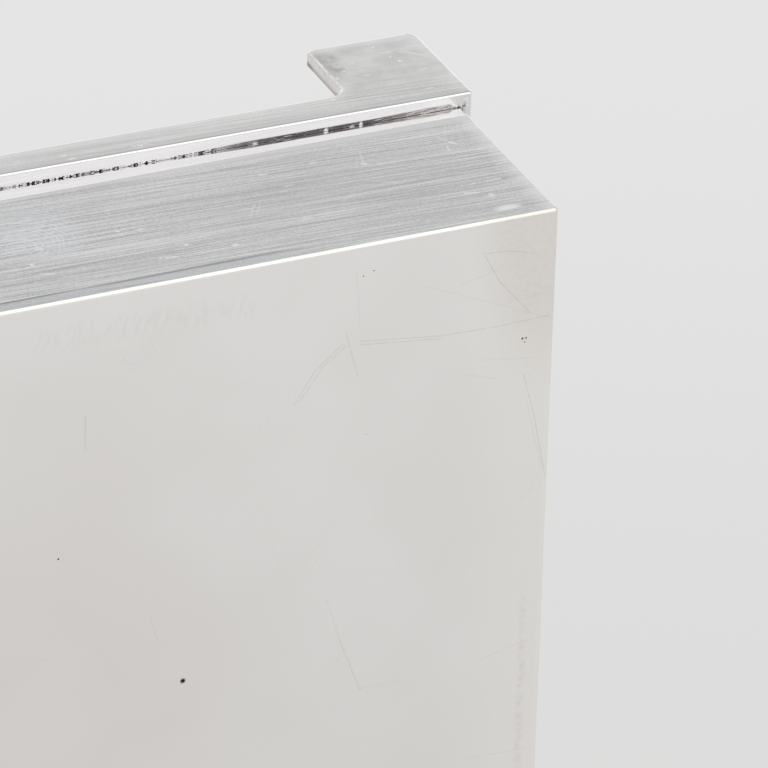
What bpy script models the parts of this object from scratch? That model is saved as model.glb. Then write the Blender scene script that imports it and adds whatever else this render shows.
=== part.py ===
"""A lidded metal box with a cedar lining and a lift-off lid that has four corner tabs.

The box stands on its base plate, with +Z up and its length along X. Its front wall faces -Y.
The origin is under the middle of the base plate, on the surface that the box stands on.
"""

import math

import bmesh
import bpy

MM = 0.001

# The body, measured outside
BODY_LENGTH = 168.0 * MM
BODY_WIDTH = 88.0 * MM
BODY_PLATE = 1.5 * MM
BODY_EDGE_RADIUS = 0.5 * MM

# Height at which the lower edge of the lid's rails crosses the walls
SEAM_HEIGHT = 23.9 * MM

# The lid's rails, which hang over the walls and stand a little above the lid's plate
RAIL_HEIGHT = 4.35 * MM
RAIL_THICKNESS = 1.45 * MM
END_RAIL_THICKNESS = 0.9 * MM
RAIL_EDGE_RADIUS = 0.3 * MM
LID_SIDE_CLEARANCE = 0.2 * MM
LID_PLATE = 1.5 * MM
LID_RECESS = 0.6 * MM

# The tabs, cut in one piece with the front and back rails
TAB_WIDTH = 12.7 * MM
TAB_HEIGHT = 11.05 * MM
TAB_CORNER_RADIUS = 1.1 * MM
TAB_FOOT_RADIUS = 1.2 * MM

# The cedar lining of the body and the panel inside the lid
CEDAR_FLOOR = 2.0 * MM
CEDAR_BOARD = 2.5 * MM
CEDAR_DIVIDER_HEIGHT = 14.0 * MM
CEDAR_PANEL = 1.6 * MM
CEDAR_PANEL_INSET = 1.2 * MM
CEDAR_PANEL_HEADROOM = 0.5 * MM
CEDAR_EDGE_RADIUS = 0.4 * MM

# What is left between pieces that are soldered, glued or laid on each other
JOINT_GAP = 0.3 * MM

# Faces along each rounded edge, and along each quarter turn of an outline
EDGE_SEGMENTS = 3
ARC_STEPS = 6

# Heights, from the base up
BASE_TOP = BODY_PLATE
LID_TOP = SEAM_HEIGHT + RAIL_HEIGHT
TAB_TOP = LID_TOP + TAB_HEIGHT
LID_PLATE_TOP = LID_TOP - LID_RECESS
LID_PLATE_BOTTOM = LID_PLATE_TOP - LID_PLATE
WALL_BOTTOM = BASE_TOP + JOINT_GAP
WALL_TOP = LID_PLATE_BOTTOM - JOINT_GAP
FLOOR_BOTTOM = BASE_TOP + JOINT_GAP
FLOOR_TOP = FLOOR_BOTTOM + CEDAR_FLOOR
PANEL_TOP = LID_PLATE_BOTTOM - JOINT_GAP
PANEL_BOTTOM = PANEL_TOP - CEDAR_PANEL
BOARD_BOTTOM = FLOOR_TOP + JOINT_GAP
BOARD_TOP = PANEL_BOTTOM - CEDAR_PANEL_HEADROOM
DIVIDER_TOP = BOARD_BOTTOM + CEDAR_DIVIDER_HEIGHT

# Half lengths along X and half widths along Y, from the outside in
BODY_X = BODY_LENGTH / 2
BODY_Y = BODY_WIDTH / 2
INNER_X = BODY_X - BODY_PLATE
INNER_Y = BODY_Y - BODY_PLATE
LINING_X = INNER_X - JOINT_GAP
LINING_Y = INNER_Y - JOINT_GAP
BOARD_X = LINING_X - CEDAR_BOARD
BOARD_Y = LINING_Y - CEDAR_BOARD
RAIL_INNER_X = BODY_X + LID_SIDE_CLEARANCE
RAIL_INNER_Y = BODY_Y + LID_SIDE_CLEARANCE
RAIL_OUTER_X = RAIL_INNER_X + END_RAIL_THICKNESS
RAIL_OUTER_Y = RAIL_INNER_Y + RAIL_THICKNESS
LID_PLATE_X = RAIL_INNER_X - JOINT_GAP
LID_PLATE_Y = RAIL_INNER_Y - JOINT_GAP
PANEL_X = INNER_X - CEDAR_PANEL_INSET
PANEL_Y = INNER_Y - CEDAR_PANEL_INSET


def clear_scene():
    for item in list(bpy.data.objects):
        bpy.data.objects.remove(item, do_unlink=True)


def make_collection(name):
    collection = bpy.data.collections.new(name)
    bpy.context.scene.collection.children.link(collection)
    return collection


def make_material(name, colour, roughness, metallic):
    material = bpy.data.materials.new(name)
    material.use_nodes = True
    shader = material.node_tree.nodes["Principled BSDF"]
    shader.inputs["Base Color"].default_value = (*colour, 1.0)
    shader.inputs["Roughness"].default_value = roughness
    shader.inputs["Metallic"].default_value = metallic
    material.diffuse_color = (*colour, 1.0)
    return material


def add_edge_rounding(item, radius, limit):
    bevel = item.modifiers.new("rounded edges", "BEVEL")
    bevel.width = radius
    bevel.segments = EDGE_SEGMENTS
    bevel.limit_method = limit
    return bevel


def make_block(name, low, high, material, open_sides="", radius=0.0):
    """A block from corner low to corner high.

    open_sides names the sides that no other piece covers, such as "-X +Z".
    An edge between two open sides is rounded, and the others stay square.
    """
    size = [top - bottom for bottom, top in zip(low, high)]
    centre = [(top + bottom) / 2 for bottom, top in zip(low, high)]
    mesh = bpy.data.meshes.new(name)
    shape = bmesh.new()
    bmesh.ops.create_cube(shape, size=1.0)
    bmesh.ops.scale(shape, vec=size, verts=shape.verts)
    rounded = shape.edges.layers.float.new("bevel_weight_edge")
    for edge in shape.edges:
        sides = [side_name(face.normal) for face in edge.link_faces]
        edge[rounded] = 1.0 if all(side in open_sides.split() for side in sides) else 0.0
    shape.to_mesh(mesh)
    shape.free()
    mesh.materials.append(material)
    block = bpy.data.objects.new(name, mesh)
    block.location = centre
    PARTS.objects.link(block)
    if radius:
        add_edge_rounding(block, radius, "WEIGHT")
    return block


def side_name(normal):
    axis = max(range(3), key=lambda index: abs(normal[index]))
    return ("-" if normal[axis] < 0 else "+") + "XYZ"[axis]


def arc(centre_x, centre_z, radius, start, stop):
    """Points on an arc, from the angle start to stop in degrees."""
    points = []
    for step in range(ARC_STEPS + 1):
        angle = math.radians(start + (stop - start) * step / ARC_STEPS)
        points.append((centre_x + radius * math.cos(angle), centre_z + radius * math.sin(angle)))
    return points


def rail_outline():
    """A long rail with a tab at each end, drawn in X and in height above the seam."""
    tab_top = RAIL_HEIGHT + TAB_HEIGHT
    tab_inner = RAIL_OUTER_X - TAB_WIDTH
    right = [(RAIL_OUTER_X, 0.0)]
    right += arc(RAIL_OUTER_X - TAB_CORNER_RADIUS, tab_top - TAB_CORNER_RADIUS, TAB_CORNER_RADIUS, 0, 90)
    right += arc(tab_inner + TAB_CORNER_RADIUS, tab_top - TAB_CORNER_RADIUS, TAB_CORNER_RADIUS, 90, 180)
    right += arc(tab_inner - TAB_FOOT_RADIUS, RAIL_HEIGHT + TAB_FOOT_RADIUS, TAB_FOOT_RADIUS, 0, -90)
    left = [(-x, z) for x, z in reversed(right)]
    return right + left


def make_tabbed_rail(name, centre_y, material):
    """A flat plate cut to the rail's outline, standing in the plane of the wall."""
    curve = bpy.data.curves.new(name, "CURVE")
    curve.dimensions = "2D"
    curve.fill_mode = "BOTH"
    curve.extrude = RAIL_THICKNESS / 2
    outline = rail_outline()
    spline = curve.splines.new("POLY")
    spline.points.add(len(outline) - 1)
    for point, (x, z) in zip(spline.points, outline):
        point.co = (x, z, 0.0, 1.0)
    spline.use_cyclic_u = True
    curve.materials.append(material)
    rail = bpy.data.objects.new(name, curve)
    rail.location = (0.0, centre_y, SEAM_HEIGHT)
    rail.rotation_euler = (math.radians(90), 0.0, 0.0)
    PARTS.objects.link(rail)
    weld = rail.modifiers.new("join the faces", "WELD")
    weld.merge_threshold = JOINT_GAP / 100
    bevel = add_edge_rounding(rail, RAIL_EDGE_RADIUS, "ANGLE")
    bevel.angle_limit = math.radians(60)
    return rail


def make_body(brushed, polished):
    """The base plate with four walls soldered on it."""
    pieces = [make_block("base_plate", (-BODY_X, -BODY_Y, 0.0), (BODY_X, BODY_Y, BASE_TOP),
                         polished, "-X +X -Y +Y -Z", BODY_EDGE_RADIUS)]
    for name, low_y, open_sides in (("front_wall", -BODY_Y, "-X +X -Y"), ("back_wall", INNER_Y, "-X +X +Y")):
        pieces.append(make_block(name, (-BODY_X, low_y, WALL_BOTTOM), (BODY_X, low_y + BODY_PLATE, WALL_TOP),
                                 brushed, open_sides, BODY_EDGE_RADIUS))
    for name, low_x in (("left_wall", -BODY_X), ("right_wall", INNER_X)):
        pieces.append(make_block(name, (low_x, -LINING_Y, WALL_BOTTOM), (low_x + BODY_PLATE, LINING_Y, WALL_TOP),
                                 brushed))
    return pieces


def make_lining(cedar):
    """Loose cedar boards: a floor, four sides standing on it, and a divider across the middle."""
    pieces = [make_block("cedar_floor", (-LINING_X, -LINING_Y, FLOOR_BOTTOM), (LINING_X, LINING_Y, FLOOR_TOP),
                         cedar)]
    for name, low_y, open_sides in (("cedar_front_board", -LINING_Y, "+Y +Z"),
                                    ("cedar_back_board", BOARD_Y, "-Y +Z")):
        pieces.append(make_block(name, (-LINING_X, low_y, BOARD_BOTTOM),
                                 (LINING_X, low_y + CEDAR_BOARD, BOARD_TOP),
                                 cedar, open_sides, CEDAR_EDGE_RADIUS))
    end_y = BOARD_Y - JOINT_GAP
    for name, low_x, open_sides in (("cedar_left_board", -LINING_X, "+X +Z"),
                                    ("cedar_right_board", BOARD_X, "-X +Z")):
        pieces.append(make_block(name, (low_x, -end_y, BOARD_BOTTOM), (low_x + CEDAR_BOARD, end_y, BOARD_TOP),
                                 cedar, open_sides, CEDAR_EDGE_RADIUS))
    pieces.append(make_block("cedar_divider", (-CEDAR_BOARD / 2, -end_y, BOARD_BOTTOM),
                             (CEDAR_BOARD / 2, end_y, DIVIDER_TOP), cedar, "-X +X +Z", CEDAR_EDGE_RADIUS))
    return pieces


def make_lid(brushed, polished, cedar):
    """The lid's plate with rails round it, and a cedar panel under it."""
    pieces = [make_block("lid_top_plate", (-LID_PLATE_X, -LID_PLATE_Y, LID_PLATE_BOTTOM),
                         (LID_PLATE_X, LID_PLATE_Y, LID_PLATE_TOP), polished)]
    rail_centre = RAIL_INNER_Y + RAIL_THICKNESS / 2
    pieces.append(make_tabbed_rail("lid_front_rail", -rail_centre, brushed))
    pieces.append(make_tabbed_rail("lid_back_rail", rail_centre, brushed))
    end_y = RAIL_INNER_Y - JOINT_GAP
    for name, low_x, open_sides in (("lid_left_rail", -RAIL_OUTER_X, "-X -Z +Z"),
                                    ("lid_right_rail", RAIL_INNER_X, "+X -Z +Z")):
        pieces.append(make_block(name, (low_x, -end_y, SEAM_HEIGHT), (low_x + END_RAIL_THICKNESS, end_y, LID_TOP),
                                 brushed, open_sides, RAIL_EDGE_RADIUS))
    pieces.append(make_block("lid_cedar_panel", (-PANEL_X, -PANEL_Y, PANEL_BOTTOM), (PANEL_X, PANEL_Y, PANEL_TOP),
                             cedar))
    return pieces


def parent_to_empty(name, location, pieces):
    """An empty that carries pieces without moving them."""
    empty = bpy.data.objects.new(name, None)
    empty.location = location
    PARTS.objects.link(empty)
    for piece in pieces:
        piece.parent = empty
        piece.location = [value - offset for value, offset in zip(piece.location, location)]
    return empty


clear_scene()
PARTS = make_collection("lidded_box")
BRUSHED = make_material("brushed silver plate", (0.55, 0.56, 0.57), 0.28, 1.0)
POLISHED = make_material("polished silver plate", (0.82, 0.81, 0.79), 0.06, 1.0)
CEDAR = make_material("cedar", (0.46, 0.24, 0.13), 0.6, 0.0)

parent_to_empty("body_origin", (0.0, 0.0, 0.0), make_body(BRUSHED, POLISHED) + make_lining(CEDAR))
parent_to_empty("lid_lift", (0.0, 0.0, SEAM_HEIGHT), make_lid(BRUSHED, POLISHED, CEDAR))
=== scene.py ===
import math

import bmesh
import bpy
from mathutils import Matrix, Vector


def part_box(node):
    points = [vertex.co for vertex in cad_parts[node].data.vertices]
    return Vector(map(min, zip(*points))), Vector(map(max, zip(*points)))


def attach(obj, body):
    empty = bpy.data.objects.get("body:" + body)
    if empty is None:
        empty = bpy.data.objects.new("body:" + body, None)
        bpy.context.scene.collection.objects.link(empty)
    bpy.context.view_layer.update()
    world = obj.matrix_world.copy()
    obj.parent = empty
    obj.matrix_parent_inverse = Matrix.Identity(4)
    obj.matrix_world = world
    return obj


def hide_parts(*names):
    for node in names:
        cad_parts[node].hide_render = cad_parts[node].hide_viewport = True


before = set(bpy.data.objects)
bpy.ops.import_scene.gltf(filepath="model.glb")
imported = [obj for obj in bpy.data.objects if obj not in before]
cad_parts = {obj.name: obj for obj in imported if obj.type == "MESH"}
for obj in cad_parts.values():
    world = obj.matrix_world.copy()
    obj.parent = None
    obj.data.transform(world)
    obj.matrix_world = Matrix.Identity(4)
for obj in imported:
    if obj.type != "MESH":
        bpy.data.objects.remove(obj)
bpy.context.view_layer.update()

MM = 0.001


# The camera. The box lies on its back wall in the photograph, so the camera looks up at the underside
# from below the front wall, close to one corner, through a long lens, and the picture is turned.

BASE_LOW, BASE_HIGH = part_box("base_plate")
NEAR_CORNER = Vector((BASE_HIGH.x, BASE_LOW.y, BASE_LOW.z))
CAMERA_AIM = NEAR_CORNER + Vector((-18.866, 16.499, 0.0)) * MM
CAMERA_DISTANCE = 445.44 * MM
CAMERA_TURN = math.radians(34.4845)
CAMERA_RISE = math.radians(52.2101)
CAMERA_ROLL = math.radians(39.8141)
CAMERA_LENS = 207.328
CAMERA_CLIP = 10.0 * MM
Z_AXIS = Vector((0.0, 0.0, 1.0))

scene = bpy.context.scene
camera_data = bpy.data.cameras.new("camera")
camera_data.lens = CAMERA_LENS
camera_data.clip_start = CAMERA_CLIP
camera = bpy.data.objects.new("camera", camera_data)
forward = Vector((
    math.sin(CAMERA_TURN) * math.cos(CAMERA_RISE),
    math.cos(CAMERA_TURN) * math.cos(CAMERA_RISE),
    math.sin(CAMERA_RISE),
))
level_right = forward.cross(Z_AXIS).normalized()
level_up = level_right.cross(forward)
picture_up = level_up * math.cos(CAMERA_ROLL) + level_right * math.sin(CAMERA_ROLL)
turn = Matrix((forward.cross(picture_up), picture_up, -forward)).transposed().to_4x4()
camera.matrix_world = Matrix.Translation(CAMERA_AIM - forward * CAMERA_DISTANCE) @ turn
scene.collection.objects.link(camera)
scene.camera = camera
scene.view_settings.view_transform = "Standard"


# The stage. A pale studio all round, a floor that takes the box's shadow, and two soft lamps: a large
# one overhead, and a round one below the front, which draws the bright line along each polished edge.

BACKDROP_BRIGHT = (0.785, 0.785, 0.783, 1.0)
BACKDROP_DIM = (0.723, 0.723, 0.720, 1.0)
BACKDROP_BRIGHT_TURN = 0.42
BACKDROP_DIM_TURN = 0.57
STUDIO_FILL = (0.80, 0.80, 0.80, 1.0)
FLOOR_COLOUR = (0.80, 0.80, 0.80, 1.0)
FLOOR_RADIUS = 900.0 * MM
FLOOR_FADE_START = 350.0 * MM
FLOOR_FADE_END = 850.0 * MM
FLOOR_DROP = 0.2 * MM
FLOOR_SIDES = 96

# Each soft lamp's name, shape, direction and distance from the camera's aim, size and brightness
SOFTBOXES = (
    ("overhead_softbox", "SQUARE", (0.45, 0.10, 0.88), 900.0 * MM, 900.0 * MM, 0.28),
    ("low_front_softbox", "DISK", (0.30, -0.70, -0.65), 500.0 * MM, 660.0 * MM, 0.44),
)


def fill_node(node, fill):
    """Fills a node's inputs with values or with other nodes' outputs, and returns the node."""
    for place, value in fill.items():
        if isinstance(value, bpy.types.NodeSocket):
            node.id_data.links.new(value, node.inputs[place])
        else:
            node.inputs[place].default_value = value
    return node


def add_node(kind, fill=None, tree=None, **options):
    """Adds a node, with its options and inputs, to a tree or else to the one that its inputs are in."""
    fill = fill or {}
    linked = [value for value in fill.values() if isinstance(value, bpy.types.NodeSocket)]
    node = (tree or linked[0].id_data).nodes.new("ShaderNode" + kind)
    for option, value in options.items():
        setattr(node, option, value)
    return fill_node(node, fill)


def maths(operation, *values, clamp=False):
    """A Math node's result."""
    return add_node("Math", dict(enumerate(values)), operation=operation, use_clamp=clamp).outputs[0]


def times(value, *others):
    """The product of some values."""
    for other in others:
        value = maths("MULTIPLY", value, other)
    return value


def fade(value, start, end, low=0.0, high=1.0):
    """Runs smoothly from low, where the value is at start, to high, where it is at end."""
    fill = {"Value": value, "From Min": start, "From Max": end, "To Min": low, "To Max": high}
    return add_node("MapRange", fill, interpolation_type="SMOOTHSTEP").outputs["Result"]


def mix_colours(share, first, second):
    """The first colour turned towards the second by a share."""
    return add_node("Mix", {0: share, 6: first, 7: second}, data_type="RGBA").outputs[2]


def parts_of(vector):
    """The outputs X, Y and Z of a vector."""
    return add_node("SeparateXYZ", {0: vector}).outputs


def vector_maths(operation, *vectors):
    """A Vector Math node's outputs."""
    return add_node("VectorMath", dict(enumerate(vectors)), operation=operation).outputs


def new_material(name):
    """An empty node material: the material, the outputs of its Texture Coordinate and its output node."""
    material = bpy.data.materials.new(name)
    material.use_nodes = True
    tree = material.node_tree
    tree.nodes.clear()
    return material, add_node("TexCoord", tree=tree).outputs, add_node("OutputMaterial", tree=tree)


world = bpy.data.worlds.new("pale studio")
scene.world = world
world.use_nodes = True
world.cycles.sampling_method = "NONE"
studio = world.node_tree
studio.nodes.clear()
direction = parts_of(add_node("TexCoord", tree=studio).outputs["Generated"])
dimness = fade(direction["Y"], BACKDROP_BRIGHT_TURN, BACKDROP_DIM_TURN)
backdrop = mix_colours(dimness, BACKDROP_BRIGHT, BACKDROP_DIM)
rays = add_node("LightPath", tree=studio).outputs
seen = maths("ADD", rays["Is Camera Ray"], rays["Is Glossy Ray"])
seen = maths("ADD", seen, rays["Is Transmission Ray"], clamp=True)
sky = add_node("Background", {"Color": mix_colours(seen, STUDIO_FILL, backdrop)})
add_node("OutputWorld", {"Surface": sky.outputs[0]})

floor_shape = bmesh.new()
bmesh.ops.create_circle(floor_shape, cap_ends=True, radius=FLOOR_RADIUS, segments=FLOOR_SIDES)
bmesh.ops.translate(floor_shape, vec=Z_AXIS * (BASE_LOW.z - FLOOR_DROP), verts=floor_shape.verts)
floor_data = bpy.data.meshes.new("pale_floor")
floor_shape.to_mesh(floor_data)
floor_shape.free()
floor_material, coordinates, output = new_material("pale floor")
rays = add_node("LightPath", tree=output.id_data).outputs
back = add_node("NewGeometry", tree=output.id_data).outputs["Backfacing"]
seen = maths("ADD", rays["Is Camera Ray"], rays["Is Diffuse Ray"], clamp=True)
seen = maths("SUBTRACT", seen, back, clamp=True)
away = vector_maths("LENGTH", coordinates["Object"])["Value"]
near = fade(away, FLOOR_FADE_END, FLOOR_FADE_START)
matt = add_node("BsdfDiffuse", {"Color": FLOOR_COLOUR}, output.id_data)
clear = add_node("BsdfTransparent", tree=output.id_data)
blend = add_node("MixShader", {0: times(seen, near), 1: clear.outputs[0], 2: matt.outputs[0]})
fill_node(output, {"Surface": blend.outputs[0]})
floor_data.materials.append(floor_material)
floor = bpy.data.objects.new("pale_floor", floor_data)
scene.collection.objects.link(floor)

for name, shape, towards, distance, size, brightness in SOFTBOXES:
    lamp_data = bpy.data.lights.new(name, "AREA")
    lamp_data.shape = shape
    lamp_data.size = size
    face = size * size * (math.pi / 4.0 if shape == "DISK" else 1.0)
    lamp_data.energy = math.pi * face * brightness
    lamp = bpy.data.objects.new(name, lamp_data)
    towards = Vector(towards).normalized()
    lamp.rotation_mode = "QUATERNION"
    lamp.rotation_quaternion = towards.to_track_quat("Z", "Y")
    lamp.location = CAMERA_AIM + towards * distance
    lamp.visible_camera = False
    scene.collection.objects.link(lamp)


# The base plate. A sheet of silver-coloured metal, mirror polished underneath, whose outer edges are
# softly rounded. The walls are soldered onto it, and the solder is polished away.

BODY_EDGE_RADIUS = 0.5 * MM
ROUND_FACES = 7
SHARP_ANGLE = math.radians(30.0)
TOUCH = 0.01 * MM
HALF_LENGTH = BASE_HIGH.x
HALF_WIDTH = BASE_HIGH.y
POLISHED_CLEAN = (0.908, 0.900, 0.884, 1.0)
POLISHED_WARM = (0.842, 0.802, 0.775, 1.0)
POLISHED_END = (0.925, 0.90, 0.868, 1.0)
POLISHED_DULL = (0.56, 0.54, 0.51, 1.0)
EDGE_CREAM = (0.91, 0.892, 0.83, 1.0)
CORNER_WEAR_COLOUR = (0.54, 0.455, 0.39, 1.0)
SPECK_COLOUR = (0.02, 0.015, 0.012, 1.0)
BRUSHED_DARK = (0.43, 0.432, 0.432, 1.0)
BRUSHED_LIGHT = (0.935, 0.935, 0.933, 1.0)
BRUSHED_PALE = (0.94, 0.94, 0.94, 1.0)
BRUSHED_HAZE = (0.60, 0.605, 0.60, 1.0)
JOINT_DARK = (0.36, 0.37, 0.39, 1.0)
BLUISH_REFLECTION = (0.50, 0.53, 0.57, 1.0)

# Values named for a fade give its start and end, then its low and high where they aren't 0 and 1.
# Those passed to clouds() give a size in millimetres, a detail, then a fade.
LEFTWARD_SHADE_FADE = (35.0 * MM, 135.0 * MM, 0.0, 0.75)
FILM_CLOUDS = (26.0, 2.0, 0.38, 0.66, 0.0, 0.35)
POLISHED_END_FADE = (2.0 * MM, 12.0 * MM, 0.8, 0.0)
BRUSHED_EDGE_FADE = (BODY_EDGE_RADIUS * 0.36, BODY_EDGE_RADIUS * 0.60)
CREAM_EDGE_FADE = (0.0, BODY_EDGE_RADIUS * 0.1)
POLISHED_ROUGHNESS = 0.035
EDGE_ROUGHNESS_FADE = (30.0 * MM, 60.0 * MM, 0.10, 0.22)
RIM_ROUGHNESS_FADE = (20.0 * MM, 55.0 * MM, 0.28, 0.50)
RIM_FADE = (BODY_EDGE_RADIUS * 0.8, BODY_EDGE_RADIUS * 2.2)
WORN_ROUGHNESS = 0.15
WORN_RELIEF = -0.3
FINE_RELIEF = (0.004 * MM, 0.3)

# Scratches and patches of wear, each at its places along and across from the near corner, in
# millimetres. A patch has its reach along each axis too, and a strength where it is faint.
BASE_SCRATCHES = (
    ((-28.6, 16.8), (-26.4, 13.4), (-23.5, 11.0)),
    ((-28.0, 16.5), (-25.6, 13.2), (-23.1, 11.2)),
    ((-23.1, 9.7), (-21.8, 14.8)),
    ((-21.5, 11.0), (-12.8, 12.2), (-6.9, 12.4), (-0.6, 12.3)),
    ((-21.5, 11.4), (-12.8, 12.5)),
    ((-8.2, 3.7), (-5.3, 3.9), (-2.6, 4.7)),
    ((-8.2, 3.7), (-6.4, 7.2)),
    ((-6.4, 7.2), (-2.9, 11.5)),
    ((-3.3, 18.7), (-2.0, 23.6), (-0.4, 31.6)),
    ((-23.3, 46.4), (-20.9, 53.2)),
    ((-50.7, 13.4), (-50.8, 17.2)),
)
FAINT_BASE_SCRATCHES = (
    ((-44.2, 38.0), (-43.4, 41.8)),
    ((-24.8, 41.0), (-23.3, 46.4)),
    ((-22.5, 47.5), (-24.0, 49.5)),
    ((-21.0, 53.0), (-16.5, 53.2)),
    ((-2.9, 21.8), (-0.9, 30.3)),
    ((-14.4, 6.2), (-7.0, 9.6), (-0.4, 12.7)),
    ((-10.8, 6.8), (-7.9, 6.1), (-6.8, 5.8)),
    ((-8.1, 16.0), (-2.3, 16.9)),
    ((-9.7, 17.4), (-6.1, 18.6)),
    ((-3.2, 33.8), (-1.7, 32.5)),
    ((-7.1, 52.8), (-1.0, 51.4)),
    ((-8.7, 65.2), (-0.6, 65.7)),
    ((-22.1, 2.8), (-21.6, 8.9)),
)
SCRATCH_WIDTH = 0.13 * MM
SCRATCH_BREAKS = (0.5, 2.0, 0.38, 0.56, 0.45, 1.0)
SCRATCH_STRENGTH = 0.34
FAINT_STRENGTH = 0.15
BASE_SPECKS = (
    ((-40.7, 47.1), (0.42, 0.42, 1.0)),
    ((-3.6, 14.4), (0.18, 0.18, 1.0)),
    ((-3.2, 14.4), (0.15, 0.15, 1.0)),
    ((-3.35, 14.85), (0.11, 0.11, 1.0)),
    ((-20.2, 3.2), (0.10, 0.10, 1.0)),
)
ROUGH_PATCHES = (
    ((-4.2, 8.0), (4.5, 5.0, 4.5)),
    ((-3.5, 31.8), (3.2, 3.6, 3.2)),
    ((-46.0, 6.8), (4.5, 4.0, 4.5)),
)
SMALL_MARKS = ((400.0, 400.0, 400.0), (0.0, 0.0, 0.8))
ROUGH_STRENGTH = 0.28
WIPING_STRENGTH = 0.035
CORNER_WEAR = (((-1.5, 1.0), (9.0, 23.0, 9.0)),)
CORNER_WEAR_CLOUDS = (0.6, 3.0, 0.30, 0.65, 0.17, 0.25)
END_LINE_INSET = 2.3 * MM
END_LINE_FADE = (0.7 * MM, 0.1 * MM)
END_LINE_START_FADE = (42.0 * MM, 50.0 * MM)
END_LINE_CLOUDS = (0.8, 2.0, 0.40, 0.62, 0.02, 0.16)
RUBBED_LINE = (((-54.8, 4.1), (-33.8, 4.4)),)
RUBBED_WIDTH = 2.6 * MM
RUBBED_GRAIN = ((0.45, 1.6, 1.6), 1.0, 0.42, 0.66)
RUBBED_TURN = (0.0, 0.0, 0.3)
RUBBED_STRENGTH = 0.10


def on_base(x, y):
    """A place on the underside, in millimetres along and across from the near corner."""
    return Vector((x, y, 0.0)) * MM


def box_shape(low, high):
    """A closed box between two corners, as a bmesh."""
    shape = bmesh.new()
    bmesh.ops.create_cube(shape, size=1.0)
    bmesh.ops.scale(shape, vec=high - low, verts=shape.verts)
    bmesh.ops.translate(shape, vec=(low + high) / 2, verts=shape.verts)
    return shape


def edges_between(shape, low, high):
    """The edges that lie wholly in the space between two corners, or on its faces."""
    def holds(place):
        return all(low[i] - TOUCH < place[i] < high[i] + TOUCH for i in range(3))
    return [edge for edge in shape.edges if all(holds(vert.co) for vert in edge.verts)]


def round_edges(shape, edges, radius, faces=ROUND_FACES):
    """Rounds edges of a bmesh with a number of narrow faces."""
    bmesh.ops.bevel(
        shape, geom=edges, offset=radius, offset_type="OFFSET", affect="EDGES",
        segments=faces, profile=0.5, material=-1, clamp_overlap=True,
    )


def finish_piece(name, shape, material, slot, body, *nodes, rounding=None):
    """Turns a bmesh into a piece that rides on a body and stands for the CAD nodes named last.

    Where a rounding is given, the edges that carry a bevel weight are rounded by that share of it.
    """
    bmesh.ops.recalc_face_normals(shape, faces=shape.faces)
    weights = shape.edges.layers.float.get("bevel_weight_edge")
    for edge in shape.edges:
        rounded = weights is not None and edge[weights] > 0.0
        edge.smooth = rounded or edge.calc_face_angle() < SHARP_ANGLE
    for face in shape.faces:
        face.smooth = True
    data = bpy.data.meshes.new(name)
    shape.to_mesh(data)
    shape.free()
    data.materials.append(material)
    piece = bpy.data.objects.new(name, data)
    scene.collection.objects.link(piece)
    if rounding is not None:
        bevel = piece.modifiers.new("rounded edges", "BEVEL")
        bevel.width = rounding
        bevel.segments = ROUND_FACES
        bevel.limit_method = "WEIGHT"
        bevel.use_clamp_overlap = False
    flat_shading = piece.modifiers.new("flat faces stay flat", "WEIGHTED_NORMAL")
    flat_shading.keep_sharp = True
    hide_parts(*nodes)
    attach(piece, body)


def new_group(name, outputs, **inputs):
    """A shader node group with a Vector and other inputs: the group, its inputs and its end node."""
    group = bpy.data.node_groups.new(name, "ShaderNodeTree")
    for label, kind in {"Vector": "Vector", **inputs}.items():
        group.interface.new_socket(name=label, in_out="INPUT", socket_type="NodeSocket" + kind)
    for label in outputs:
        group.interface.new_socket(name=label, in_out="OUTPUT", socket_type="NodeSocketFloat")
    start = group.nodes.new("NodeGroupInput")
    end = group.nodes.new("NodeGroupOutput")
    return group, start.outputs, end


def place_group(group, vector, **fill):
    """Places a node group in the tree of its inputs, and returns its outputs."""
    return add_node("Group", {"Vector": vector, **fill}, node_tree=group).outputs


def measured_from(vector, place):
    """The vector to a point from a place."""
    return vector_maths("SUBTRACT", vector, place)[0]


def stretch(vector, cell, turn=(0.0, 0.0, 0.0)):
    """The vector measured in cells of a length, width and height in millimetres, turned as given."""
    fill = {"Vector": vector, "Scale": Vector(cell) * MM, "Rotation": turn}
    return add_node("Mapping", fill, vector_type="TEXTURE").outputs[0]


def clouds(vector, size, detail=1.0, *span, turn=(0.0, 0.0, 0.0), roughness=0.5):
    """Noise in clouds of a size, or a length, width and height, faded where a fade is given."""
    cell = size if isinstance(size, tuple) else (size, size, size)
    fill = {"Vector": stretch(vector, cell, turn), "Scale": 1.0, "Detail": detail, "Roughness": roughness}
    mask = add_node("TexNoise", fill).outputs[0]
    return fade(mask, *span) if span else mask


def greatest(mask, *others):
    """The greatest of some masks."""
    for other in others:
        mask = maths("MAXIMUM", mask, other)
    return mask


def mix_values(share, first, second):
    """The first value turned towards the second by a share."""
    return add_node("Mix", {0: share, 2: first, 3: second}).outputs[0]


def paint(colour, *coats):
    """A colour under coats of others, each laid on by the product of its shares."""
    for coat, *shares in coats:
        colour = mix_colours(times(*shares), colour, coat)
    return colour


def build_up(value, *products):
    """A value to which the products of some pairs are added."""
    for first, second in products:
        value = maths("MULTIPLY_ADD", first, second, value)
    return value


def inside_body(place):
    """How far a point lies inside the body's ends and inside its sides."""
    parts = parts_of(place)
    from_end = maths("SUBTRACT", HALF_LENGTH, maths("ABSOLUTE", parts["X"]))
    from_side = maths("SUBTRACT", HALF_WIDTH, maths("ABSOLUTE", parts["Y"]))
    return from_end, from_side


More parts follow.
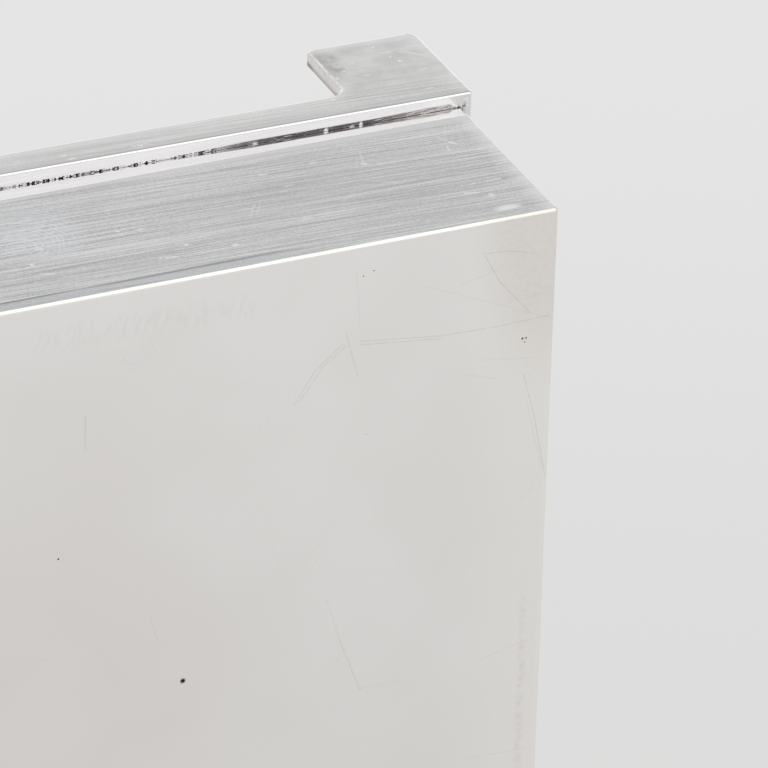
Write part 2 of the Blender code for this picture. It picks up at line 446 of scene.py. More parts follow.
# Node group: one fine scratch, as a mask that is 1 on a straight line between two points
SCRATCH_FADE = (0.8, 0.2)
scratch_group, given, end = new_group(
    "fine scratch", ["Mask"], Start="Vector", End="Vector", Width="Float",
)
from_start = measured_from(given["Vector"], given["Start"])
line = measured_from(given["End"], given["Start"])
along = vector_maths("DOT_PRODUCT", from_start, line)["Value"]
whole = vector_maths("DOT_PRODUCT", line, line)["Value"]
nearest = vector_maths("MULTIPLY", line, maths("DIVIDE", along, whole, clamp=True))[0]
apart = vector_maths("DISTANCE", from_start, nearest)["Value"]
fill_node(end, {"Mask": fade(maths("DIVIDE", apart, given["Width"]), *SCRATCH_FADE)})

# Node group: one worn patch, as a mask that is 1 at its centre and 0 past its reach each way
PATCH_FADE = (1.0, 0.3)
patch_group, given, end = new_group("worn patch", ["Mask"], Centre="Vector", Reach="Vector")
offset = measured_from(given["Vector"], given["Centre"])
reaches = vector_maths("DIVIDE", offset, given["Reach"])[0]
fill_node(end, {"Mask": fade(vector_maths("LENGTH", reaches)["Value"], *PATCH_FADE)})

# Node group: hair-fine wiping marks in several directions, and small dark pits
WIPING_TURNS = (0.35, 1.25, 2.2, 2.75)
WIPING_LINES = ((16.0, 0.28, 16.0), 0.0, 0.70, 0.80)
WIPING_CLOUDS = (20.0, 1.0, 0.42, 0.62)
PIT_CELL = (7.0, 7.0, 7.0)
PIT_FADE = (0.018, 0.010)
wiping_group, given, end = new_group("wiping marks", ["Marks", "Pits"])
place = given["Vector"]
marks = [clouds(place, *WIPING_LINES, turn=(0.0, 0.0, angle)) for angle in WIPING_TURNS]
pits = add_node("TexVoronoi", {"Vector": stretch(place, PIT_CELL), "Scale": 1.0}).outputs
fill_node(end, {
    "Marks": times(greatest(*marks), clouds(place, *WIPING_CLOUDS)),
    "Pits": fade(pits["Distance"], *PIT_FADE),
})

# Node group: the lines that brushing leaves along each side, stray lines that cross them at a slant,
# and short bright nicks
LINE_TILT = 0.03
BEND_SIZE = 60.0
LINE_CELLS = (
    ((60.0, 60.0, 1.4), 0.08),
    ((20.0, 20.0, 0.30), 0.10),
    ((13.0, 13.0, 0.15), 0.57),
)
GRAIN_CELL = (0.24, 0.24, 0.20)
GRAIN_SHARE = 0.25
LINE_FADE = (0.25, 0.75)
STRAY_TURNS = (math.radians(6.0), math.radians(-4.0))
STRAY_LINES = ((9.0, 9.0, 0.26), 1.0, 0.64, 0.76)
STRAY_CLOUDS = (11.0, 1.0, 0.44, 0.60)
NICK_CELL = (5.5, 5.5, 1.4)
NICK_FADE = (0.13, 0.07)
NICK_CHOICE = 0.55
brushing_group, given, end = new_group("brushed lines", ["Lines", "Strays", "Nicks"], Wander="Float")
place = given["Vector"]
run = parts_of(place)
bend = times(maths("SUBTRACT", clouds(place, BEND_SIZE), 0.5), given["Wander"])
bend = build_up(bend, (run["X"], LINE_TILT), (run["Y"], LINE_TILT))
bent = vector_maths("ADD", place, add_node("CombineXYZ", {"Z": bend}).outputs[0])[0]
lines = build_up(0.0, (clouds(place, GRAIN_CELL), GRAIN_SHARE))
for cell, share in LINE_CELLS:
    lines = build_up(lines, (clouds(bent, cell), share))
strays = [clouds(bent, *STRAY_LINES, turn=(0.0, angle, 0.0)) for angle in STRAY_TURNS]
nicks = add_node("TexVoronoi", {"Vector": stretch(place, NICK_CELL), "Scale": 1.0}).outputs
chosen = add_node("SeparateColor", {0: nicks["Color"]}).outputs[0]
chosen = maths("GREATER_THAN", chosen, NICK_CHOICE)
fill_node(end, {
    "Lines": fade(lines, *LINE_FADE),
    "Strays": times(greatest(*strays), clouds(place, *STRAY_CLOUDS)),
    "Nicks": times(fade(nicks["Distance"], *NICK_FADE), chosen),
})

# Node group: the soldered joint between the base plate and the walls, a fine dark line, and under it
# a bluish band of painted reflection, both stronger away from the corners
JOINT_CLOUDS_SIZE = 18.0
JOINT_WANDER = 0.5 * MM
JOINT_HEIGHT = BASE_HIGH.z + 0.15 * MM
JOINT_LINE_FADE = (0.28 * MM, 0.06 * MM)
REFLECTION_BAND_FADE = (0.1 * MM, -0.3 * MM)
JOINT_CORNER_FADE = (20.0 * MM, 38.0 * MM, 0.25, 1.0)
JOINT_LINE_CLOUDS = (9.0, 2.0, 0.30, 0.55, 0.45, 1.0)
joint_and_reflection_group, given, end = new_group("soldered joint", ["Line", "Painted reflection band"], Distance="Float")
place = given["Vector"]
wander = maths("SUBTRACT", clouds(place, JOINT_CLOUDS_SIZE), 0.5)
height = build_up(parts_of(place)["Z"], (wander, JOINT_WANDER))
off_joint = maths("SUBTRACT", height, JOINT_HEIGHT)
strength = fade(given["Distance"], *JOINT_CORNER_FADE)
thin_line = fade(maths("ABSOLUTE", off_joint), *JOINT_LINE_FADE)
fill_node(end, {
    "Line": times(thin_line, strength, clouds(place, *JOINT_LINE_CLOUDS)),
    "Painted reflection band": times(fade(off_joint, *REFLECTION_BAND_FADE), strength),
})


def draw_scratches(vector, lines, width, at):
    """A mask of fine scratches through places, each turned into a vector by a function."""
    masks = []
    for places in lines:
        for start, stop in zip(places, places[1:]):
            scratch = place_group(scratch_group, vector, Start=at(*start), End=at(*stop), Width=width)
            masks.append(scratch["Mask"])
    return greatest(*masks)


def draw_patches(vector, patches, at):
    """A mask of worn patches, each with its place, its reach in millimetres and, if faint, its strength."""
    masks = []
    for place, reach, *strength in patches:
        patch = place_group(patch_group, vector, Centre=at(*place), Reach=Vector(reach) * MM)
        masks.append(times(patch["Mask"], *strength))
    return greatest(*masks)


BODY_WANDER = 1.2 * MM
STRAY_STRENGTH = 0.45
NICK_STRENGTH = 0.75
HAZE_CLOUDS = ((30.0, 30.0, 7.0), 2.0, 0.32, 0.68, 0.0, 0.16)
BAND_STRENGTH = 0.42
RUBBED_CORNER_SHEEN_FADE = (0.4 * MM, 2.6 * MM, 0.55, 0.0)
CORNER_TURN_FADE = (0.5 * MM, 0.1 * MM)
CORNER_TURN_STRENGTH = 0.6


def brushed_side(place, distance):
    """The brushed finish of the body's sides: its colour and its lines, with a bluish band of painted
    reflection just above the bottom edge, a lighter rubbed and painted sheen near each upright corner, and
    painted shade on the corner's rounding.
    """
    brushing = place_group(brushing_group, place, Wander=BODY_WANDER)
    joint = place_group(joint_and_reflection_group, place, Distance=distance)
    metal = paint(
        BRUSHED_DARK,
        (BRUSHED_LIGHT, brushing["Lines"]),
        (BRUSHED_PALE, brushing["Strays"], STRAY_STRENGTH),
        (BRUSHED_PALE, brushing["Nicks"], NICK_STRENGTH),
        (BRUSHED_HAZE, clouds(place, *HAZE_CLOUDS)),
        # A bluish band above the bottom edge: painted reflection
        (BLUISH_REFLECTION, joint["Painted reflection band"], BAND_STRENGTH),
        (JOINT_DARK, joint["Line"]),
        # Lighter near each upright corner: rubbed smoother, with a painted sheen
        (BRUSHED_LIGHT, fade(distance, *RUBBED_CORNER_SHEEN_FADE)),
        # Darker on the corner's rounding: painted shade that dims its highlight
        (BRUSHED_DARK, fade(distance, *CORNER_TURN_FADE), CORNER_TURN_STRENGTH),
    )
    return metal, brushing["Lines"]


def finish_surface(output, colour, roughness, relief, depth, strength, metallic=1.0):
    """Gives a material its Principled surface, with a relief of a depth in metres."""
    bump = add_node("Bump", {"Height": relief, "Distance": depth, "Strength": strength})
    shader = add_node("BsdfPrincipled", {
        "Base Color": colour, "Metallic": metallic, "Roughness": roughness, "Normal": bump.outputs[0],
    })
    fill_node(output, {"Surface": shader.outputs[0]})


polished_base, coordinates, output = new_material("mirror polished base")
place = coordinates["Object"]
from_corner = measured_from(place, NEAR_CORNER)
along = parts_of(from_corner)
from_end, from_side = inside_body(place)
broken = clouds(place, *SCRATCH_BREAKS)
deep = times(draw_scratches(from_corner, BASE_SCRATCHES, SCRATCH_WIDTH, on_base), broken)
faint = times(draw_scratches(from_corner, FAINT_BASE_SCRATCHES, SCRATCH_WIDTH, on_base), broken)
wiping = place_group(wiping_group, place)
small_marks = place_group(wiping_group, stretch(place, *SMALL_MARKS))
rough = times(draw_patches(from_corner, ROUGH_PATCHES, on_base), small_marks["Marks"])
rubbed = draw_scratches(from_corner, RUBBED_LINE, RUBBED_WIDTH, on_base)
rubbed = times(rubbed, clouds(place, *RUBBED_GRAIN, turn=RUBBED_TURN))
leftward = maths("SUBTRACT", along["Y"], along["X"])
# Darker and warmer away from the near corner, along and across: painted shade, under a warm film in clouds
film_and_shade = maths("ADD", fade(leftward, *LEFTWARD_SHADE_FADE), clouds(place, *FILM_CLOUDS), clamp=True)
specks = greatest(wiping["Pits"], draw_patches(from_corner, BASE_SPECKS, on_base))
edge_share = fade(along["Z"], *CREAM_EDGE_FADE)
corner_wear = draw_patches(from_corner, CORNER_WEAR, on_base)
off_line = maths("ABSOLUTE", maths("SUBTRACT", from_end, END_LINE_INSET))
end_line = times(fade(off_line, *END_LINE_FADE), fade(along["Y"], *END_LINE_START_FADE))
side_metal, side_lines = brushed_side(place, greatest(from_end, from_side))
brushed_share = fade(along["Z"], *BRUSHED_EDGE_FADE)
metal = paint(
    POLISHED_CLEAN,
    (POLISHED_WARM, film_and_shade),
    (POLISHED_END, fade(from_end, *POLISHED_END_FADE)),
    (POLISHED_DULL, wiping["Marks"], WIPING_STRENGTH),
    (POLISHED_DULL, rough, ROUGH_STRENGTH),
    (POLISHED_DULL, rubbed, RUBBED_STRENGTH),
    (POLISHED_DULL, faint, FAINT_STRENGTH),
    (POLISHED_DULL, deep, SCRATCH_STRENGTH),
    (SPECK_COLOUR, specks),
    (EDGE_CREAM, edge_share),
    (CORNER_WEAR_COLOUR, corner_wear, clouds(place, *CORNER_WEAR_CLOUDS)),
    (CORNER_WEAR_COLOUR, end_line, clouds(place, *END_LINE_CLOUDS)),
    (side_metal, brushed_share),
)
worn = greatest(deep, rough)
leftmost = times(along["X"], -1.0)
rim_smooth = fade(leftmost, *RIM_ROUGHNESS_FADE)
from_rim = maths("MINIMUM", from_end, from_side)
smooth = fade(from_rim, *RIM_FADE, rim_smooth, POLISHED_ROUGHNESS)
smooth = build_up(smooth, (worn, WORN_ROUGHNESS))
smooth = mix_values(edge_share, smooth, fade(leftmost, *EDGE_ROUGHNESS_FADE))
relief = build_up(times(worn, WORN_RELIEF), (side_lines, brushed_share))
finish_surface(output, metal, smooth, relief, *FINE_RELIEF)

base_shape = box_shape(BASE_LOW, BASE_HIGH)
upright = [edge for edge in base_shape.edges if abs(edge.verts[0].co.z - edge.verts[1].co.z) > TOUCH]
around = edges_between(base_shape, BASE_LOW, Vector((BASE_HIGH.x, BASE_HIGH.y, BASE_LOW.z)))
round_edges(base_shape, upright + around, BODY_EDGE_RADIUS)
finish_piece("polished_base", base_shape, polished_base, "polished_plate", "box", "base_plate")


# The four walls. Sheets of the same metal, brushed along their length, butted at the corners, and
# soldered to each other and to the base plate, so that only the rounded corners show.

FRONT_LOW, FRONT_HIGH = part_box("front_wall")
WALL_PLATE = FRONT_HIGH.y - FRONT_LOW.y
WALL_TOP_RADIUS = 0.25 * MM
WALL_TOP_FACES = 5
SEAM_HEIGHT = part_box("lid_front_rail")[0].z
WALL_TOP_DULL = (0.60, 0.585, 0.565, 1.0)
WALL_TOP_STAIN = (0.33, 0.29, 0.26, 1.0)
TARNISH = (0.034, 0.027, 0.024, 1.0)
SCUFF_COLOUR = (0.86, 0.89, 0.93, 1.0)
SCUFF_HAZE = (0.76, 0.80, 0.85, 1.0)
FLARE_LIGHTENING = (0.79, 0.78, 0.783, 1.0)

# Marks on the front wall, and patches of painted shade, at places along and up from the near
# corner, in millimetres
WALL_SCRATCHES = (
    ((-7.7, 7.8), (-3.0, 7.9)),
    ((-5.2, 18.3), (-4.4, 16.9)),
    ((-4.6, 16.9), (-4.0, 16.5)),
    ((-5.2, 16.3), (-5.4, 15.3)),
    ((-41.1, 4.6), (-39.4, 4.35)),
    ((-53.0, 5.8), (-51.8, 5.4)),
    ((-14.9, 16.0), (-14.4, 15.5)),
    ((-7.7, 6.2), (-6.3, 5.9)),
)
FAINT_SCRATCHES = (
    ((-27.6, 11.8), (-29.0, 9.5)),
    ((-28.3, 11.6), (-29.6, 9.6)),
    ((-33.7, 2.2), (-21.5, 1.6)),
    ((-14.6, 16.2), (-14.1, 18.0)),
    ((-15.8, 12.4), (-12.8, 10.5)),
    ((-20.0, 9.3), (-18.4, 9.8)),
    ((-51.1, 4.5), (-49.9, 4.2)),
)
WALL_SCRATCH_WIDTH = 0.20 * MM
WALL_SCRATCH_BREAKS = (0.6, 1.0, 0.34, 0.52, 0.35, 1.0)
FAINT_SHARE = 0.4
WALL_SPOTS = (
    ((-4.9, 1.8), (2.0, 1.0, 0.95), 0.9),
    ((-5.3, 4.9), (0.5, 1.0, 0.6), 0.7),
    ((-37.7, 6.2), (0.4, 1.0, 0.25)),
    ((-33.2, 4.5), (0.5, 1.0, 0.25)),
    ((-53.2, 7.8), (0.3, 1.0, 0.25)),
    ((-43.0, 11.3), (0.4, 1.0, 0.2)),
    ((-14.6, 15.8), (0.4, 1.0, 0.3), 0.8),
)
# Darker patches: painted shade over the middle of the wall and near its lower corner
WALL_SHADES = (
    ((-2.4, 1.2), (3.6, 1.0, 1.3), 0.30),
    ((-17.0, 11.0), (19.0, 1.0, 13.0), 0.16),
)
SCUFF_PATCH = (((-50.9, 13.6), (6.2, 1.0, 7.0)),)
SCUFF_CENTRE = (-53.2, 11.6)
SCUFF_RIPPLE = 0.55 * MM
RIPPLE_CLOUDS_SIZE = 3.0
RIPPLE_WANDER = 0.9 * MM
RIPPLE_FADE = (-0.2, 1.0, 0.18, 1.0)
SCUFF_CLOUDS = (0.7, 2.0, 0.36, 0.60, 0.1, 1.0)
SCUFF_STRENGTH = 0.9
SCUFF_HAZE_CLOUDS = (2.2, 2.0, 0.34, 0.62, 0.0, 0.42)

# The wall's dull top, the dark line in the gap, and the slight outward flare just under the lid,
# whose paler colour is painted light that brightens the lid's reflection in the wall
TOP_FADE = (0.5, 0.9)
TOP_DULLNESS = 0.75
TOP_ROUGHNESS = 0.22
TOP_CLOUDS = (2.6, 4.0, 0.48, 0.68, 0.0, 0.7)
GAP_FADE = (-0.06 * MM, 0.02 * MM)
GAP_DEPTH_FADE = (0.14 * MM, 0.04 * MM)
GAP_WORN_FADE = (0.5 * MM, 0.8 * MM, 1.0, 0.15)
GAP_CLOUDS = (0.5, 1.0, 0.44, 0.54)
GAP_END_FADE = (-1.2 * MM, -1.8 * MM)
GAP_CORNER_FADE = (-0.7 * MM, -0.5 * MM, 0.0, 0.6)
FLARE_START = SEAM_HEIGHT - 3.3 * MM
FLARE_SOFTNESS = 1.2 * MM
FLARE_FADE = (FLARE_START, FLARE_START + FLARE_SOFTNESS * 0.7)
FLARE_SIDE_FADE = (-0.9, -0.6, 1.0, 0.25)
FLARE_STRENGTH = 0.75
FLARE_STEEPNESS_FADE = (0.0, 55.0 * MM, 0.085, 0.03)
FLARE_ROUGHNESS = 0.02
WALL_ROUGHNESS = 0.07
LINE_ROUGHNESS = 0.05
CORNER_TURN_ROUGHNESS = 0.25
LINE_DEPTH = 0.0012 * MM
FLARE_LINE_DEPTH = 0.0001 * MM
WALL_RELIEF = (1.0, 1.0)


def on_wall(x, z):
    """A place on the front wall, in millimetres along and up from the near corner."""
    return Vector((x, 0.0, z)) * MM


brushed_wall, coordinates, output = new_material("brushed walls")
place = coordinates["Object"]
facing = parts_of(coordinates["Normal"])
from_corner = measured_from(place, NEAR_CORNER)
along = parts_of(from_corner)["X"]
height = parts_of(place)["Z"]
from_end, from_side = inside_body(place)
distance = greatest(from_end, from_side)
side_metal, lines = brushed_side(place, distance)
broken = clouds(place, *WALL_SCRATCH_BREAKS)
scratches = draw_scratches(from_corner, WALL_SCRATCHES, WALL_SCRATCH_WIDTH, on_wall)
faint = draw_scratches(from_corner, FAINT_SCRATCHES, WALL_SCRATCH_WIDTH, on_wall)
round_scuff = vector_maths("LENGTH", measured_from(from_corner, on_wall(*SCUFF_CENTRE)))["Value"]
ripple = build_up(round_scuff, (clouds(place, RIPPLE_CLOUDS_SIZE), RIPPLE_WANDER))
ripple = fade(maths("SINE", times(ripple, 2.0 * math.pi / SCUFF_RIPPLE)), *RIPPLE_FADE)
scuff = draw_patches(from_corner, SCUFF_PATCH, on_wall)
on_top = fade(facing["Z"], *TOP_FADE)
in_flare = times(fade(height, *FLARE_FADE), fade(facing["Y"], *FLARE_SIDE_FADE))
above_seam = maths("SUBTRACT", height, SEAM_HEIGHT)
gap_depth = fade(maths("MINIMUM", from_end, from_side), *GAP_DEPTH_FADE)
in_gap = times(fade(above_seam, *GAP_FADE), gap_depth, fade(above_seam, *GAP_WORN_FADE))
bare_end = greatest(fade(along, *GAP_END_FADE), fade(along, *GAP_CORNER_FADE))
metal = paint(
    side_metal,
    (BRUSHED_PALE, scratches, broken),
    (BRUSHED_PALE, faint, broken, FAINT_SHARE),
    # Painted shade in patches
    (BRUSHED_DARK, draw_patches(from_corner, WALL_SHADES, on_wall)),
    (BRUSHED_PALE, draw_patches(from_corner, WALL_SPOTS, on_wall)),
    (SCUFF_COLOUR, scuff, ripple, clouds(place, *SCUFF_CLOUDS), SCUFF_STRENGTH),
    (SCUFF_HAZE, scuff, clouds(place, *SCUFF_HAZE_CLOUDS)),
    (WALL_TOP_DULL, on_top, TOP_DULLNESS),
    (WALL_TOP_STAIN, on_top, clouds(place, *TOP_CLOUDS)),
    # Paler where the wall flares: painted light that brightens the lid's reflection
    (FLARE_LIGHTENING, in_flare, FLARE_STRENGTH),
    (TARNISH, in_gap, clouds(place, *GAP_CLOUDS), bare_end),
)
smooth = build_up(
    WALL_ROUGHNESS, (lines, LINE_ROUGHNESS), (on_top, TOP_ROUGHNESS),
    (fade(distance, *CORNER_TURN_FADE), CORNER_TURN_ROUGHNESS),
)
smooth = mix_values(in_flare, smooth, FLARE_ROUGHNESS)
rise = maths("SMOOTH_MAX", maths("SUBTRACT", height, FLARE_START), 0.0, FLARE_SOFTNESS)
relief = times(rise, fade(distance, *FLARE_STEEPNESS_FADE))
line_depth = mix_values(in_flare, LINE_DEPTH, FLARE_LINE_DEPTH)
finish_surface(output, metal, smooth, build_up(relief, (lines, line_depth)), *WALL_RELIEF)


X_AXIS = Vector((1.0, 0.0, 0.0))


def cut_across(shape, axis, *steps, only=None):
    """Cuts a bmesh, or only some of its faces, square to an axis at steps along it, and removes nothing."""
    for step in steps:
        faces = only or shape.faces[:]
        edges = dict.fromkeys(edge for face in faces for edge in face.edges)
        verts = dict.fromkeys(vert for face in faces for vert in face.verts)
        geometry = [*verts, *edges, *faces]
        bmesh.ops.bisect_plane(shape, geom=geometry, plane_co=axis * step, plane_no=axis)


def middle_of(edge):
    """The middle of a bmesh's edge."""
    return (edge.verts[0].co + edge.verts[1].co) / 2


for name, side in (("front", -1.0), ("back", 1.0)):
    low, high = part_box(name + "_wall")
    low.z = BASE_HIGH.z
    shape = box_shape(low, high)
    outer, inner = (low.y, high.y) if side < 0.0 else (high.y, low.y)
    for x in (low.x, high.x):
        corner_low = Vector((x, outer, low.z))
        corner_high = Vector((x, outer, high.z))
        round_edges(shape, edges_between(shape, corner_low, corner_high), BODY_EDGE_RADIUS)
    cut_across(shape, X_AXIS, low.x + WALL_PLATE, high.x - WALL_PLATE)
    rim = []
    for edge in edges_between(shape, Vector((low.x, low.y, high.z)), high):
        middle = middle_of(edge)
        covered = abs(middle.y - inner) < TOUCH and abs(middle.x) > high.x - WALL_PLATE
        if not covered and edge.calc_face_angle() > SHARP_ANGLE:
            rim.append(edge)
    round_edges(shape, rim, WALL_TOP_RADIUS, WALL_TOP_FACES)
    finish_piece(name + "_wall_brushed", shape, brushed_wall, "brushed_plate", "box", name + "_wall")

for name in ("left", "right"):
    low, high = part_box(name + "_wall")
    low = Vector((low.x, FRONT_HIGH.y, BASE_HIGH.z))
    high = Vector((high.x, -FRONT_HIGH.y, high.z))
    shape = box_shape(low, high)
    rim = [
        edge for edge in edges_between(shape, Vector((low.x, low.y, high.z)), high)
        if abs(edge.verts[0].co.x - edge.verts[1].co.x) < TOUCH
    ]
    round_edges(shape, rim, WALL_TOP_RADIUS, WALL_TOP_FACES)
    finish_piece(name + "_wall_brushed", shape, brushed_wall, "brushed_plate", "box", name + "_wall")


# The cedar lining. Thin boards of reddish cedar, planed and left bare, glued inside the metal, with a
# low divider across the middle.

CEDAR_PALE = (0.56, 0.31, 0.17, 1.0)
CEDAR_DARK = (0.33, 0.145, 0.07, 1.0)
CEDAR_PORE = (0.16, 0.07, 0.035, 1.0)
CEDAR_EDGE_RADIUS = 0.4 * MM
CEDAR_EDGE_FACES = 3
CEDAR_ROUGHNESS = 0.52
FIBRE_ROUGHNESS = 0.2
CEDAR_RELIEF = (0.05 * MM, 0.5)
RING_SPACING = 3.4 * MM
RING_SLANT = 0.7
RING_DRIFT_CLOUDS = ((170.0, 25.0, 25.0), 1.0)
RING_DRIFT = 3.2
RING_SHARPNESS = 1.8
LATE_WOOD_FADE = (1.0, 0.86)
UNEVEN_CLOUDS = ((90.0, 7.0, 7.0), 1.0, 0.36, 0.64, 0.15, 1.0)
FIBRES = ((17.0, 0.31, 0.31), 2.0, 0.25, 0.75)
FIBRE_COARSENESS = 0.6
FIBRE_STRENGTH = 0.6
PORES = ((2.4, 0.19, 0.19), 1.0, 0.66, 0.74)
PORE_STRENGTH = 0.7

# Node group: cedar, with growth rings cut lengthwise, fine fibres and short dark pores along X
cedar_group, given, end = new_group("cedar grain", ["Rings", "Fibres", "Pores"])
place = given["Vector"]
across_grain = parts_of(place)
rings = build_up(across_grain["Y"], (across_grain["Z"], RING_SLANT))
rings = maths("DIVIDE", rings, RING_SPACING)
rings = maths("FRACT", build_up(rings, (clouds(place, *RING_DRIFT_CLOUDS), RING_DRIFT)))
late_wood = fade(rings, *LATE_WOOD_FADE)
uneven = clouds(place, *UNEVEN_CLOUDS)
fill_node(end, {
    "Rings": times(maths("POWER", rings, RING_SHARPNESS), late_wood, uneven),
    "Fibres": clouds(place, *FIBRES, roughness=FIBRE_COARSENESS),
    "Pores": clouds(place, *PORES),
})


def cedar_material(name, turn, shift):
    """Bare cedar whose grain runs along X, or along Y when it is turned, from its own part of the tree."""
    material, coordinates, output = new_material(name)
    fill = {"Vector": coordinates["Object"], "Location": shift, "Rotation": (0.0, 0.0, turn)}
    grain = place_group(cedar_group, add_node("Mapping", fill).outputs[0])
    wood = paint(
        CEDAR_PALE,
        (CEDAR_DARK, grain["Rings"]),
        (CEDAR_PALE, grain["Fibres"], FIBRE_STRENGTH),
        (CEDAR_PORE, grain["Pores"], PORE_STRENGTH),
    )
    smooth = build_up(CEDAR_ROUGHNESS, (grain["Fibres"], FIBRE_ROUGHNESS))
    relief = maths("SUBTRACT", grain["Fibres"], grain["Pores"])
    finish_surface(output, wood, smooth, relief, *CEDAR_RELIEF, metallic=0.0)
    return material


def add_cedar_board(name, node, body, turn, shift):
    """A planed cedar board with eased edges, in the place of its CAD node."""
    shape = box_shape(*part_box(node))
    round_edges(shape, shape.edges[:], CEDAR_EDGE_RADIUS, CEDAR_EDGE_FACES)
    finish_piece(name, shape, cedar_material(name + " wood", turn, shift), "cedar", body, node)


ALONG = 0.0
ACROSS = math.radians(90.0)
for name, node, turn, shift in (
    ("cedar_floor_board", "cedar_floor", ALONG, (0.0, 0.0, 0.0)),
    ("cedar_front_lining", "cedar_front_board", ALONG, (0.31, 0.05, 0.0)),
    ("cedar_back_lining", "cedar_back_board", ALONG, (0.57, 0.11, 0.0)),
    ("cedar_left_lining", "cedar_left_board", ACROSS, (0.83, 0.2, 0.0)),
    ("cedar_right_lining", "cedar_right_board", ACROSS, (0.19, 0.4, 0.0)),
    ("cedar_middle_divider", "cedar_divider", ACROSS, (0.42, 0.3, 0.0)),
):
    add_cedar_board(name, node, "box", turn, shift)


# The lid's rails. Strips of brushed metal that hang over the walls all round, polished on their narrow
# undersides. The long ones have two tabs each, cut in one piece with them, which stand up at the
# corners. The rails are soldered together.

RAIL_LOW, RAIL_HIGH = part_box("lid_front_rail")
RAIL_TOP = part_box("lid_right_rail")[1].z
RAIL_GAP = 0.02 * MM
INNER_X = HALF_LENGTH + RAIL_GAP
INNER_Y = HALF_WIDTH + RAIL_GAP
OUTER_Y = -RAIL_LOW.y
SOLDER_LEG = 0.3 * MM
OUTLINE_RADIUS = 0.4 * MM
INNER_OUTLINE_SHARE = 0.4
LOWER_EDGE_SHARE = 0.75
SEAM_EDGE_SHARE = 0.05
TAB_WIDTH = 12.7 * MM
TAB_OUTER_RADIUS = 1.3 * MM
TAB_INNER_RADIUS = 0.8 * MM
TAB_FOOT_RADIUS = 1.8 * MM
TAB_FACES = 9
TAB_INNER = RAIL_HIGH.x - TAB_WIDTH
TAB_MIDDLE = (RAIL_TOP + RAIL_HIGH.z) / 2
STRAIGHT = math.radians(1.0)
RAIL_DARK = (0.485, 0.486, 0.484, 1.0)
RAIL_LIGHT = (0.93, 0.926, 0.922, 1.0)
STAIN_COLOUR = (0.42, 0.40, 0.37, 1.0)
TAB_GLINT = (0.95, 0.945, 0.94, 1.0)
TAB_END_PALE = (0.80, 0.765, 0.745, 1.0)
TAB_END_RIM = (0.52, 0.50, 0.49, 1.0)
TAB_END_DARK = (0.27, 0.25, 0.235, 1.0)
UNDER_MIDDLE_TONE = (0.84, 0.83, 0.835, 1.0)
UNDER_COLOUR = (0.825, 0.815, 0.817, 1.0)
UNDER_END = (0.87, 0.86, 0.86, 1.0)
DULL_END_COLOUR = (0.60, 0.56, 0.54, 1.0)
TARNISH_PALE = (0.12, 0.105, 0.10, 1.0)
TARNISH_BROWN = (0.30, 0.25, 0.23, 1.0)

# The face of the rails and tabs, with marks, painted shade and painted highlights at places along and
# up from the near corner
RAIL_WANDER = 1.6 * MM
RAIL_NICK_STRENGTH = 0.6
ON_TAB_FADE = (RAIL_TOP - 1.0 * MM, RAIL_TOP + 1.5 * MM)
RAIL_SOFTNESS = 0.25
TAB_SOFTNESS = 0.55
SOFT_CLOUDS = (4.0, 4.0, 0.30, 0.70, 0.30, 0.78)
LOW_SHADE_FADE = (0.3 * MM, 1.7 * MM, 0.42, 0.0)
BETWEEN_TABS_FADE = (TAB_INNER + 1.0 * MM, TAB_INNER - 3.0 * MM)
HIGH_LIGHT_FADE = (RAIL_TOP - 2.6 * MM, RAIL_TOP - 0.2 * MM, 0.0, 0.6)
LEAST_LIGHT = 0.22
TOP_RIM_FADE = (0.2 * MM, 2.0 * MM, 0.6, 0.0)
SIDE_RIM_FADE = (0.3 * MM, 2.4 * MM, 0.3, 0.0)
# Pale spots: those around the tab's inner edge and foot, 9.7 to 13.3 mm in, are painted highlights; the
# others are pale marks
RAIL_MARKS_AND_HIGHLIGHTS = (
    ((-3.2, 33.3), (0.34, 1.0, 0.34)),
    ((-3.8, 34.5), (0.22, 1.0, 0.25)),
    ((-4.2, 35.7), (0.2, 1.0, 0.2)),
    ((-4.6, 37.2), (0.2, 1.0, 0.2)),
    ((-11.7, 29.3), (0.7, 1.0, 0.6)),
    ((-11.0, 31.7), (0.3, 1.0, 0.3)),
    ((-9.7, 33.1), (0.3, 1.0, 0.3)),
    ((-13.3, 27.3), (0.45, 1.0, 0.3)),
    ((-43.6, 25.5), (0.4, 1.0, 0.2)),
    ((-43.0, 24.6), (0.6, 1.0, 0.25)),
)
SPECKLED_PATCH = (((-35.6, 24.7), (1.6, 1.0, 0.5)),)
SPECKLED_CLOUDS = (0.22, 1.0, 0.50, 0.56)
TAB_STREAK = (((-2.2, 35.3), (-0.2, 33.5)),)
TAB_STREAK_WIDTH = 0.5 * MM
TAB_STREAK_STRENGTH = 0.35
TAB_STAINS = (
    ((-10.6, 36.4), (2.0, 2.0, 1.8)),
    ((-10.5, 34.0), (1.6, 2.0, 2.2)),
)
STAIN_CLOUDS = (1.3, 3.0, 0.34, 0.60, 0.10, 0.62)

# The narrow end faces of the tabs
TAB_END_FADE = (0.35, 0.75)
TAB_END_REACH = TAB_INNER + 2.0 * MM
END_RIM_FADE = (0.85 * MM, 0.40 * MM)
END_PIT_CLOUDS = (0.9, 3.0, 0.40, 0.70, 0.0, 0.35)
END_DARK_FADE = (2.6 * MM, 4.2 * MM)
GLINT_START_FADE = (0.10, 0.30)
GLINT_END_FADE = (0.85, 0.60)
GLINT_CLOUDS = (0.9, 2.0, 0.36, 0.60, 0.1, 1.0)

